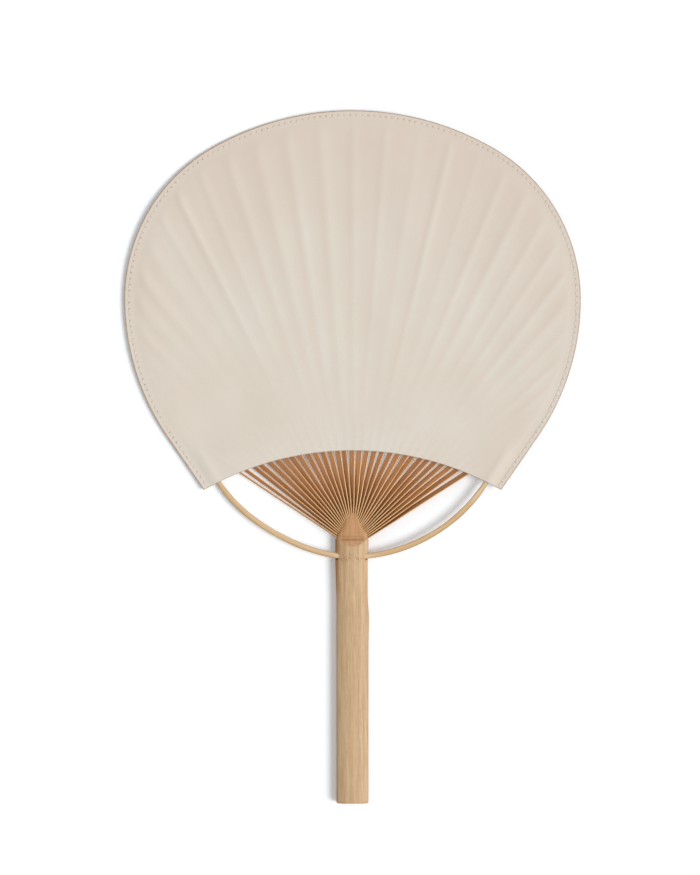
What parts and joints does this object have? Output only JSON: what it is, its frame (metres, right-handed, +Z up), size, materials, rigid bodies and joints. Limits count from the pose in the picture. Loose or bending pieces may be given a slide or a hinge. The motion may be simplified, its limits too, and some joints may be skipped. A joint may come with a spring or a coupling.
{
  "type": "hand fan",
  "caption": "Round uchiwa hand fan: a split-bamboo handle with fanned ribs and a bent bow, and a blade of pale leather sheets stitched along the round rim.",
  "frame": {"origin": "under the middle of the fan's length and width, on the surface that the flat back of the handle lies on", "axes": "+Y from the handle to the top of the blade, +X to the right seen from the front, +Z up out of the front face"},
  "size_m": [0.251, 0.381, 0.0078],
  "materials": {
    "handle_bamboo": "sanded bamboo, satin",
    "rib_bamboo": "split bamboo, satin",
    "bow_bamboo": "split bamboo, satin",
    "leather": "undyed, matte",
    "sewing_thread": "matte",
    "lacing_thread": "matte"
  },
  "bodies": {
    "root": {"handle": "handle_bamboo", "bow": "bow_bamboo", "front_leather": "leather", "back_leather": "leather", "front_stitches": "sewing_thread", "back_stitches": "sewing_thread", "lacing_thread": "lacing_thread", "rib_01": "rib_bamboo", "rib_02": "rib_bamboo", "rib_03": "rib_bamboo", "rib_04": "rib_bamboo", "rib_05": "rib_bamboo", "rib_06": "rib_bamboo", "rib_07": "rib_bamboo", "rib_08": "rib_bamboo", "rib_09": "rib_bamboo", "rib_10": "rib_bamboo", "rib_11": "rib_bamboo", "rib_12": "rib_bamboo", "rib_13": "rib_bamboo", "rib_14": "rib_bamboo", "rib_15": "rib_bamboo", "rib_16": "rib_bamboo", "rib_17": "rib_bamboo", "rib_18": "rib_bamboo", "rib_19": "rib_bamboo", "rib_20": "rib_bamboo", "rib_21": "rib_bamboo", "rib_22": "rib_bamboo", "rib_23": "rib_bamboo", "rib_24": "rib_bamboo", "rib_25": "rib_bamboo", "rib_26": "rib_bamboo", "rib_27": "rib_bamboo", "rib_28": "rib_bamboo", "rib_29": "rib_bamboo", "rib_30": "rib_bamboo", "rib_31": "rib_bamboo"}
  },
  "joints": []
}
